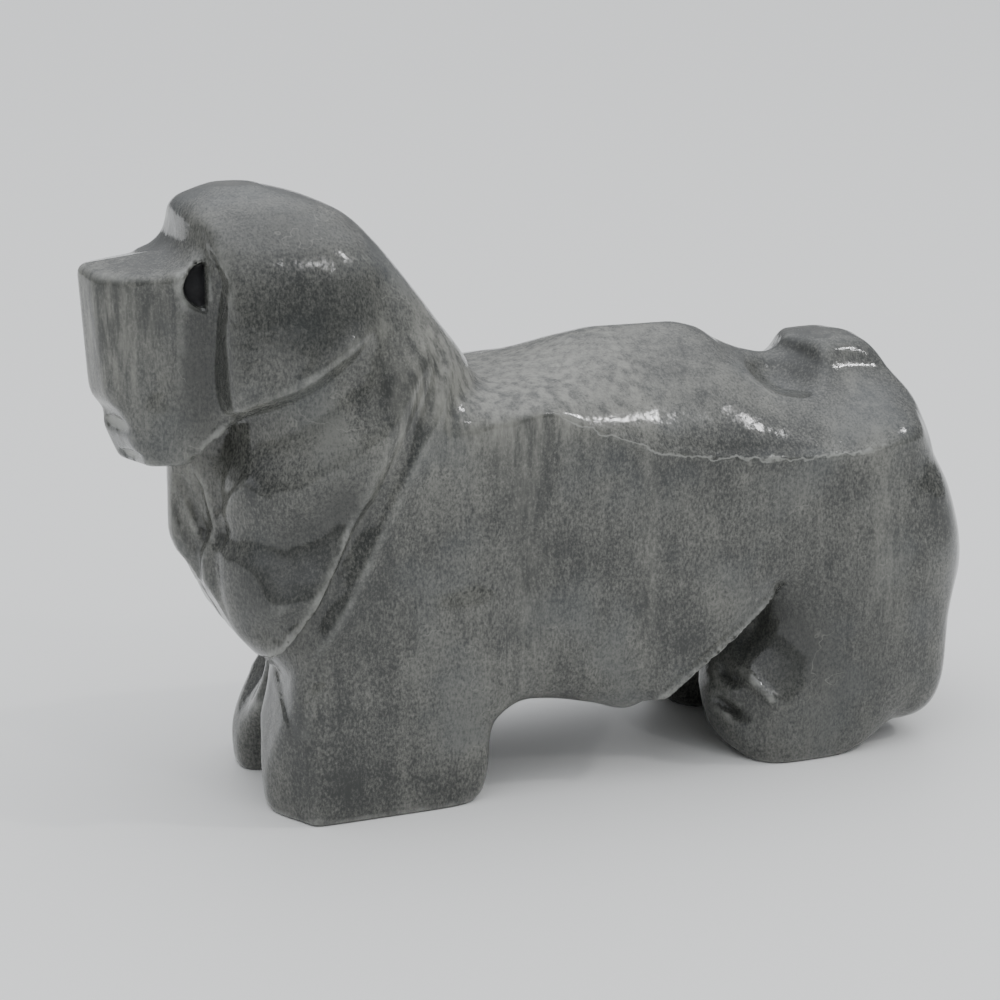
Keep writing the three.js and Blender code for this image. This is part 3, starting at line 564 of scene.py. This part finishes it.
def relief(x, y, z):
    """Height of the carving above the masses, in millimetres: the sum of all steps, strokes, flutes and hollows."""
    a = np.abs(y)
    quarter = QUARTER[0] * x + QUARTER[1] * a
    r = 0
    for line, height, low_width, high_width, length in STEPS:
        r += height * fade(a, *OFF_MIDDLE) * step(x, z, line, low_width, high_width, length)
    for line, height, low_width, high_width, length in QUARTER_STEPS:
        r += height * fade(a, *OVER_CHEST) * step(quarter, z, line, low_width, high_width, length)
    for line, height, spread, ends in SIDE_STROKES:
        r += height * fade(a, *ON_SIDE) * ridge(x, z, line, spread, ends)
    for line, height, spread, ends in QUARTER_STROKES:
        r += height * fade(a, *OVER_LINES) * ridge(quarter, z, line, spread, ends)
    for place, height, spread, low, high in FLUTES:
        across = bell((x - place - FLUTE_LEAN * (z - FLUTE_LEVEL)) / spread)
        r += height * across * fade(z, low, 2.5) * ease((high - z) / 2) * fade(a, *ON_CHEEK)
    r -= spots(x, z, HAUNCH_HOLLOW) * fade(a, *ON_SIDE)
    r -= spots(x, z, JAW_HOLLOW) * fade(a, *UNDER_JAW)
    r -= MOUTH_DEPTH * bell((z - MOUTH_HEIGHT) / 0.9) * ease((MOUTH_BACK - x) / 1.2)
    r -= EYE_DEPTH * ease(0.5 - eye_distance(x, z) / 0.5) * fade(a, *AT_EYE)
    r -= CHIP_DEPTH * ease(0.5 - chip_distance(x, z) / 0.4) * ease(0.5 - y)
    cleft = bell(a / 0.7) * ease((CLEFT_TOP - z) / 2) * fade(z, CLEFT_FOOT, 2)
    return r - CLEFT_DEPTH * cleft * ease((CLEFT_BACK - x) / 2)


FAR_FADE = 5.0


def stone(x, y, z):
    """Masses less relief: 0 on the finished surface. The far side fades in from the middle plane."""
    return masses((x, np.abs(y), z, ease(y / FAR_FADE))) - relief(x, y, z)


print("value in the core of the trunk", round(float(stone(*np.array([[10.0], [0.0], [22.0]]))[0]), 1))

# %% [markdown]
# The level 0 of that function becomes a mesh by surface nets: each grid cell that the surface crosses gets one
# vertex, and each crossed grid edge gets one four-sided face between the cells around it. Marching cubes would
# give long thin triangles, and a remesh modifier would soften the cuts. The function is worked out only near the
# surface at the full resolution, and every vertex is then drawn onto the surface along the slope.

# %% Surface nets
def corner_offsets():
    """The eight corners of a cell, as steps of 0 or 1 along each axis."""
    return [(i, j, k) for i in (0, 1) for j in (0, 1) for k in (0, 1)]


def surface_nets(values, axes):
    """Vertices and quads of the level 0 of values, which is below 0 inside. A vertex is the mean of the points
    where the surface crosses the edges of its cell."""
    inside = values < 0
    cells = tuple(n - 1 for n in values.shape)
    count = np.zeros(cells, np.int8)
    for o in corner_offsets():
        count += inside[tuple(slice(o[d], o[d] + cells[d]) for d in range(3))]
    crossed = (count > 0) & (count < 8)
    number = np.full(cells, -1, np.int64)
    number[crossed] = np.arange(crossed.sum())
    base = np.nonzero(crossed)
    total = np.zeros((len(base[0]), 3))
    hits = np.zeros(len(base[0]))
    for o in corner_offsets():
        for d in range(3):
            if o[d]:
                continue
            low = values[tuple(base[m] + o[m] for m in range(3))]
            high = values[tuple(base[m] + o[m] + (m == d) for m in range(3))]
            hit = (low < 0) != (high < 0)
            t = np.where(hit, low / np.where(hit, low - high, 1), 0)
            point = np.tile(np.array(o, float), (len(t), 1))
            point[:, d] += t
            total += point * hit[:, None]
            hits += hit
    place = total / hits[:, None]
    points = np.stack([axes[d][0] + (base[d] + place[:, d]) * (axes[d][1] - axes[d][0]) for d in range(3)], 1)
    return points, net_quads(inside, number)


def net_quads(inside, number):
    """One quad for each crossed grid edge, wound so that it faces from inside to outside."""
    quads = []
    for d in range(3):
        u, v = (d + 1) % 3, (d + 2) % 3
        low = [slice(1, -1)] * 3
        high = [slice(1, -1)] * 3
        low[d] = slice(0, -1)
        high[d] = slice(1, None)
        from_inside = inside[tuple(low)]
        crossed = from_inside != inside[tuple(high)]
        edge = np.argwhere(crossed)
        edge[:, u] += 1
        edge[:, v] += 1
        around = []
        for s, t in ((-1, -1), (0, -1), (0, 0), (-1, 0)):
            cell = edge.copy()
            cell[:, u] += s
            cell[:, v] += t
            around.append(number[tuple(cell.T)])
        quad = np.stack(around, 1)
        outward = from_inside[crossed]
        quad[~outward] = quad[~outward][:, ::-1]
        quads.append(quad)
    return np.concatenate(quads)


row = np.arange(-3.0, 4.0)
ball = np.linalg.norm(np.meshgrid(row, row, row, indexing="ij"), axis=0) - 2.2
ball_points, ball_quads = surface_nets(ball, [row] * 3)
print("a test ball has", len(ball_points) - len(ball_quads), "more vertices than quads; a closed ball has 2")

# %% [markdown]
# Now the block is carved. A grid of a third of a millimetre is finer than a small burr's mark and keeps the piece
# under 200,000 triangles. A lathe, a loft or a cage with subdivision would each need seams where the legs, the head
# and the hair meet, and this needs none. The soles are left flat on the floor, as a sanded foot is.

# %% Carve the dog
def slope(points, apart=0.04):
    """Central differences of the stone function."""
    parts = []
    for d in range(3):
        shift = np.zeros(3)
        shift[d] = apart
        parts.append(stone(*(points + shift).T) - stone(*(points - shift).T))
    return np.stack(parts, 1) / (2 * apart)


GRID = 0.35
LOW_CORNER = (-38.8, -13.4, -1.1)
HIGH_CORNER = (37.6, 13.4, 49.6)
axes = [np.arange(low, high, GRID) for low, high in zip(LOW_CORNER, HIGH_CORNER)]
grid = np.meshgrid(*axes, indexing="ij")
RELIEF_REACH = 4.0
values = masses((grid[0], np.abs(grid[1]), grid[2], ease(grid[1] / FAR_FADE)))
near = np.abs(values) < RELIEF_REACH
values[near] -= relief(*(g[near] for g in grid))
values = np.maximum(values, -grid[2])
points, quads = surface_nets(values, axes)
soles = points[:, 2] < 0.3 * GRID
LONGEST_MOVE = 0.3
for _ in range(2):
    gradient = slope(points)
    square = (gradient ** 2).sum(1)
    move = -stone(*points.T)[:, None] * gradient / square[:, None]
    reach = np.linalg.norm(move, axis=1, keepdims=True)
    points += np.where(soles[:, None], 0, move * np.minimum(1, LONGEST_MOVE / np.maximum(reach, 1e-9)))
points[soles, 2] = 0
print("stone mesh", len(points), "vertices", 2 * len(quads), "triangles")

# %% [markdown]
# The finished form becomes one mesh object at the origin, in metres, centred along its length like the solid that
# it replaces. The surface is smooth-shaded throughout, because the polish has rounded even the sharpest cut, and the
# sharpness of an edge comes from its real radius and not from split normals.

# %% Into Blender
carved = points.copy()
middle = (points[:, 0].min() + points[:, 0].max()) / 2
points[:, 0] += (cad_low[0] + cad_high[0]) / 2 / MM - middle
mesh = bpy.data.meshes.new("dog_stone")
mesh.vertices.add(len(points))
mesh.vertices.foreach_set("co", (points * MM).ravel())
mesh.loops.add(4 * len(quads))
mesh.loops.foreach_set("vertex_index", quads.ravel())
mesh.polygons.add(len(quads))
mesh.polygons.foreach_set("loop_start", np.arange(0, 4 * len(quads), 4))
mesh.update(calc_edges=True)
mesh.validate()
mesh.polygons.foreach_set("use_smooth", np.ones(len(quads), bool))
dog = bpy.data.objects.new("dog_stone", mesh)
bpy.context.scene.collection.objects.link(dog)
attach(dog, "root")
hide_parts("dog")
print("box in mm", np.round(points.min(0), 1), np.round(points.max(0), 1))

# %% [markdown]
# Polished stone shows three things at once: the colour of the mineral, which runs through the block as clouds, grains
# and upright bedding; the handling, which leaves ridges paler; and the gloss. Over these lie painted light and shade:
# the paler ridges are partly wear and partly painted edge light, and creases are painted darker as painted shade. The
# mineral is noise on Object coordinates, so it has no seams and goes round every edge as in real stone. The wear and
# the painted light and shade come from values kept on the mesh, such as its curvature. Paint and the painted reflection
# line are drawn from smooth distances kept there too, because a distance stays sharp between two vertices where a
# colour would blur.

# %% Bend of the surface
def neighbour_mean(values, links):
    """Mean of the values at the vertices that share an edge with each vertex."""
    first, second = links.T
    count = np.bincount(links.ravel(), minlength=len(values))
    total = np.bincount(first, values[second], len(values)) + np.bincount(second, values[first], len(values))
    return total / count


def keep(name, values):
    """Store one number for each vertex."""
    mesh.attributes.new(name, "FLOAT", "POINT").data.foreach_set("value", values.astype(np.float32))


links = np.empty(2 * len(mesh.edges), np.int32)
mesh.edges.foreach_get("vertices", links)
links = links.reshape(-1, 2)
normals = slope(carved)
normals /= np.linalg.norm(normals, axis=1, keepdims=True)
centres = np.stack([neighbour_mean(points[:, d], links) for d in range(3)], 1)
bend = ((points - centres) * normals).sum(1) / GRID
for _ in range(3):
    bend = 0.4 * bend + 0.6 * neighbour_mean(bend, links)
keep("bend", bend)
print("bend from", round(bend.min(), 2), "to", round(bend.max(), 2))

# %% [markdown]
# Light and shade are painted into the colour here. Painted light lies over the shoulders and the back, on the muzzle
# and the chest, in upright bands and along the edges of the mane and the ear hair. Painted shade lies behind the eye,
# on the head and the crown, in the hollows of the haunch, the thigh and before the tail, on the lower mane and between
# the locks. Soft spots and bands with places in millimetres say where, as a painter lays in tones before the detail.
# The distances of eye, chips and side line are kept beside them.

# %% Painted light and shade
FAR_OFF = 9.0
# painted light on the top of the shoulders, on the muzzle and on the chest
PAINTED_LIGHT_SPOTS = [
    ((-8.5, 34.5), (6.5, 5.0), 1.7),
    ((-36.5, 38.5), (3.2, 5.0), 1.0),
    ((-31.5, 24), (2.0, 5.0), 0.7),
]
# painted light in upright bands
PAINTED_LIGHT_BANDS = [(-6.3, 1.3, 0.35), (3.6, 0.8, 0.25), (24.5, 1.5, 0.30)]
# painted shade: head side, haunch recess, hollow before the tail, hollow below the eye, thigh, lower mane and crown
PAINTED_SHADE_SPOTS = [
    ((-23.5, 39.5), (6.0, 3.6), 1.0),
    ((15.6, 10.6), (2.8, 3.4), 1.0),
    ((19.6, 32.2), (2.6, 1.6), 1.0),
    ((-30.7, 35.5), (1.7, 5.0), 1.5),
    ((20, 9), (7.0, 8.0), 0.6),
    ((-22, 17), (5.0, 4.0), 0.6),
    ((-25, 46), (6.0, 2.5), 0.6),
]
# painted shade along the valley between the locks
LOCK_VALLEY = [[-21, 25.5], [-27, 19]]
x, y, z = carved.T
side = np.abs(y)
line_offset, line_share = along(x, z, SIDE_LINE)
keep("eye", np.where(side > AT_EYE[0], eye_distance(x, z), FAR_OFF))
keep("chip", chip_distance(x, z) + np.where(y < 1, 0, FAR_OFF))
keep("side_line", np.where(side > ON_SIDE[0], line_offset, FAR_OFF))
keep("line_share", line_share)
# painted light: upright bands, painted highlights along the edges of the mane and the ear hair, and the lit top of the
# back
bands = sum(strength * bell((x - place) / width) for place, width, strength in PAINTED_LIGHT_BANDS)
edges = 0.6 * bell(along(x, z, MANE_EDGE)[0] / 0.6) + 0.5 * bell(along(x, z, EAR_EDGE)[0] / 0.6)
bands += edges * fade(side, *ON_SIDE)
painted_light_on_back = 0.55 * bell((x - 2) / 10) * fade(z, 28, 3)
keep("pale", np.clip(spots(x, z, PAINTED_LIGHT_SPOTS) + painted_light_on_back + bands * fade(z, 5, 10), 0, 1))
# painted shade from the spots and from the lock valley
shade = spots(x, z, PAINTED_SHADE_SPOTS) + bell(along(x, z, LOCK_VALLEY)[0] / 2.2)
keep("shade", np.clip(shade * fade(side, 4, 3), 0, 1))
print("values kept", [attribute.name for attribute in mesh.attributes])

# %% [markdown]
# A material with nearly seventy nodes is hard to follow as a picture and easy to read as lines. One small helper
# places a node and takes a number or an output socket for each input. The others name what is needed most: sums,
# mixes, ranges, noise, and values read back from the mesh.

# %% Shader tools
def add(tree, kind, values, **settings):
    """New shader node; each value is a number or colour, or an output socket to link."""
    made = tree.nodes.new("ShaderNode" + kind)
    for name, value in settings.items():
        setattr(made, name, value)
    for key, value in values.items():
        if isinstance(value, bpy.types.NodeSocket):
            tree.links.new(value, made.inputs[key])
        else:
            made.inputs[key].default_value = value
    return made


def maths(tree, operation, *values):
    """One sum, product or other operation on numbers or sockets."""
    return add(tree, "Math", dict(enumerate(values)), operation=operation).outputs[0]


def mixed(tree, share, first, second):
    """Colour from first, where share is 0, to second, where it is 1."""
    return add(tree, "Mix", {0: share, 6: first, 7: second}, data_type="RGBA").outputs[2]


def remap(tree, value, low, high, to_low=0.0, to_high=1.0):
    """Value taken from the range low to high to another range, held at its ends."""
    values = {"Value": value, "From Min": low, "From Max": high, "To Min": to_low, "To Max": to_high}
    return add(tree, "MapRange", values, interpolation_type="SMOOTHSTEP").outputs[0]


def noise(tree, place, scale, detail=3.0, rough=0.5):
    """Noise with a number of waves to the millimetre."""
    values = {"Vector": place, "Scale": scale, "Detail": detail, "Roughness": rough}
    return add(tree, "TexNoise", values).outputs["Fac"]


def value_of(tree, name):
    """A value kept on the mesh."""
    return add(tree, "Attribute", {}, attribute_name=name).outputs["Fac"]


print("nodes of version", bpy.app.version_string)

# %% [markdown]
# The mineral comes first. Clouds, upright bedding, grains and specks add up to one tone between a dark and a pale grey,
# because the photograph shows them all in the same few greys. Bluer patches and a few thin veins lie over it, and so do
# the painted light and painted shade of the paler and darker places. A picture of stone would need seams, and noise in
# three dimensions needs none.

# %% Mineral, with painted light and shade
DARK_GREY = (0.030, 0.032, 0.030, 1)
PALE_GREY = (0.163, 0.163, 0.146, 1)
BLUE_GREY = (0.062, 0.072, 0.078, 1)
BEIGE = (0.30, 0.298, 0.265, 1)

stone_material = bpy.data.materials.new("polished_stone")
stone_material.use_nodes = True
tree = stone_material.node_tree
shader = tree.nodes["Principled BSDF"]
place = add(tree, "TexCoord", {}).outputs["Object"]
place = add(tree, "Mapping", {"Vector": place, "Scale": (1 / MM,) * 3}).outputs[0]
upright_place = add(tree, "Mapping", {"Vector": place, "Scale": (1.0, 1.0, 0.16)}).outputs[0]

clouds = noise(tree, place, 0.14, 4)
bedding = noise(tree, upright_place, 1.1, 4, 0.65)
grains = noise(tree, place, 3.2, 4, 0.8)
specks = noise(tree, add(tree, "Mapping", {"Vector": place, "Scale": (1.0, 1.0, 0.55)}).outputs[0], 6.0, 2, 0.7)
tone = maths(tree, "MULTIPLY_ADD", bedding, 0.40, clouds)
tone = maths(tree, "MULTIPLY_ADD", grains, 0.8, tone)
tone = maths(tree, "ADD", specks, tone)
colour = mixed(tree, remap(tree, tone, 1.30, 1.98), DARK_GREY, PALE_GREY)
blue = remap(tree, noise(tree, place, 0.13, 2), 0.48, 0.70, 0.0, 0.3)
colour = mixed(tree, blue, colour, BLUE_GREY)
# painted light: the paler places, mixed towards beige
pale = maths(tree, "MULTIPLY", value_of(tree, "pale"), remap(tree, bedding, 0.35, 0.65, 0.10, 0.65))
colour = mixed(tree, pale, colour, BEIGE)
# painted shade: the darker places, mixed towards dark grey
shaded = maths(tree, "MULTIPLY", value_of(tree, "shade"), remap(tree, clouds, 0.35, 0.65, 0.4, 0.8))
colour = mixed(tree, shaded, colour, DARK_GREY)
vein = maths(tree, "ABSOLUTE", maths(tree, "SUBTRACT", noise(tree, place, 0.12, 4, 0.6), 0.5))
vein = maths(tree, "MULTIPLY", remap(tree, vein, 0.0, 0.005, 0.30, 0.0), remap(tree, clouds, 0.5, 0.6))
colour = mixed(tree, vein, colour, BEIGE)
print("mineral with", len(tree.nodes), "nodes")

# %% [markdown]
# Then come wear and more painted light and shade. Ridges are painted paler, partly as wear and partly as painted edge
# light, creases are painted darker as painted shade, a thin pale line is painted along the side where the reflection on
# the top ends, and the chips are bruised. The black paint of the eye is last, because it covers all the rest.

# %% Wear, painted light and shade, chips and paint
# pale grey for wear, for painted edge light, for the painted reflection line and for the bruised chips
WEAR_AND_PAINTED_LIGHT = (0.34, 0.345, 0.32, 1)
BLACK_PAINT = (0.004, 0.004, 0.005, 1)

bend_value = value_of(tree, "bend")
patchy = remap(tree, noise(tree, place, 0.8, 3), 0.35, 0.65, 0.35, 1.0)
# ridges painted paler: partly wear, partly painted edge light
ridge_wear_and_light = maths(tree, "MULTIPLY", remap(tree, bend_value, 0.02, 0.14, 0.0, 0.55), patchy)
colour = mixed(tree, ridge_wear_and_light, colour, WEAR_AND_PAINTED_LIGHT)
# painted shade: creases darkened by their bend
colour = mixed(tree, remap(tree, bend_value, -0.14, -0.02, 0.42, 0.0), colour, DARK_GREY)
# painted reflection: a thin jagged pale line along the side, where the reflection on the top ends
jagged = maths(tree, "MULTIPLY_ADD", noise(tree, place, 1.1, 2), 1.2, -0.6)
off_line = maths(tree, "ABSOLUTE", maths(tree, "ADD", value_of(tree, "side_line"), jagged))
line_ends = maths(tree, "MULTIPLY", remap(tree, value_of(tree, "line_share"), 0.0, 0.05),
                  remap(tree, value_of(tree, "line_share"), 0.85, 1.0, 1.0, 0.0))
line = maths(tree, "MULTIPLY", remap(tree, off_line, 0.03, 0.13, 0.5, 0.0), line_ends)
colour = mixed(tree, line, colour, WEAR_AND_PAINTED_LIGHT)
chipped = remap(tree, value_of(tree, "chip"), -0.25, 0.05, 0.75, 0.0)
colour = mixed(tree, chipped, colour, WEAR_AND_PAINTED_LIGHT)
painted = remap(tree, maths(tree, "MULTIPLY_ADD", noise(tree, place, 2.2, 3), 0.35, value_of(tree, "eye")), 0.10, 0.20,
                1.0, 0.0)
colour = mixed(tree, painted, colour, BLACK_PAINT)
print("mineral and wear with", len(tree.nodes), "nodes")

# %% [markdown]
# The polish is high but uneven. Waves too broad to carve bend the reflections, as hand polishing leaves them, and small
# pits break them up. Both are bumps, because they change the light and not the outline. Chips and paint are duller.

# %% Polish
gloss = remap(tree, grains, 0.35, 0.7, 0.07, 0.18)
gloss = maths(tree, "MULTIPLY_ADD", chipped, 0.4, gloss)
gloss = maths(tree, "MULTIPLY_ADD", painted, 0.6, gloss)
waves = add(tree, "Bump", {"Height": noise(tree, place, 0.45, 3), "Strength": 0.25, "Distance": 0.4 * MM})
pits = add(tree, "Bump", {"Height": grains, "Strength": 0.12, "Distance": 0.06 * MM, "Normal": waves.outputs[0]})
for socket, value in (("Base Color", colour), ("Roughness", gloss), ("Normal", pits.outputs[0])):
    tree.links.new(value, shader.inputs[socket])
dog.data.materials.append(stone_material)
print("stone material with", len(tree.nodes), "nodes")

# %% [markdown]
# The dog stands on a plain pale floor. A small floor would end inside the picture and leave a grey band above it, so it
# is eight metres wide, which costs nothing, because it is one face.

# %% Floor
FLOOR_HALF = 4.0
floor_mesh = bpy.data.meshes.new("floor")
corners = [(FLOOR_HALF * i, FLOOR_HALF * j, 0) for i, j in ((-1, -1), (1, -1), (1, 1), (-1, 1))]
floor_mesh.from_pydata(corners, [], [(0, 1, 2, 3)])
floor = bpy.data.objects.new("floor", floor_mesh)
bpy.context.scene.collection.objects.link(floor)
floor_material = bpy.data.materials.new("floor")
floor_material.use_nodes = True
floor_shader = floor_material.node_tree.nodes["Principled BSDF"]
floor_shader.inputs["Base Color"].default_value = (0.85, 0.85, 0.83, 1)
floor_shader.inputs["Roughness"].default_value = 0.45
floor_mesh.materials.append(floor_material)
print("floor", 2 * FLOOR_HALF, "m wide")

# %% [markdown]
# The photograph was lit from above by a broad soft light, with a few small bright sources that the polish shows as
# crisp streaks on the back and the crown. So the world glows overhead and is dim near the horizon, as the
# inside of a light tent does, and two small lamps stand where those streaks point.

# %% Light
GLOW_AT_HORIZON = 0.28
GLOW_OVERHEAD = 2.3
world = bpy.data.worlds.new("studio")
world.use_nodes = True
sky = world.node_tree
backdrop = sky.nodes["Background"]
backdrop.inputs["Color"].default_value = (0.94, 0.96, 1.0, 1)
rise = add(sky, "SeparateXYZ", {"Vector": add(sky, "TexCoord", {}).outputs["Generated"]}).outputs["Z"]
rise = maths(sky, "POWER", maths(sky, "MAXIMUM", rise, 0.0), 2.0)
sky.links.new(maths(sky, "MULTIPLY_ADD", rise, GLOW_OVERHEAD, GLOW_AT_HORIZON), backdrop.inputs["Strength"])
bpy.context.scene.world = world


def lamp(name, place, target, size, watts):
    """Square area lamp that faces a target."""
    data = bpy.data.lights.new(name, "AREA")
    data.size = size
    data.energy = watts
    lamp_object = bpy.data.objects.new(name, data)
    away = (np.array(place) - np.array(target)).astype(float)
    away /= np.linalg.norm(away)
    side = np.cross((0, 0, 1), away)
    side /= np.linalg.norm(side)
    turned = Matrix.Identity(4)
    for column, vector in enumerate((side, np.cross(away, side), away, place)):
        for row in range(3):
            turned[row][column] = vector[row]
    lamp_object.matrix_world = turned
    bpy.context.scene.collection.objects.link(lamp_object)


MIDDLE_OF_DOG = (0, 0, 0.03)
lamp("key", (0.57, -0.28, 0.64), MIDDLE_OF_DOG, 0.045, 1.1)
lamp("second", (0.31, -0.65, 0.62), MIDDLE_OF_DOG, 0.035, 0.45)
print("lamps", [light.name for light in bpy.data.lights])
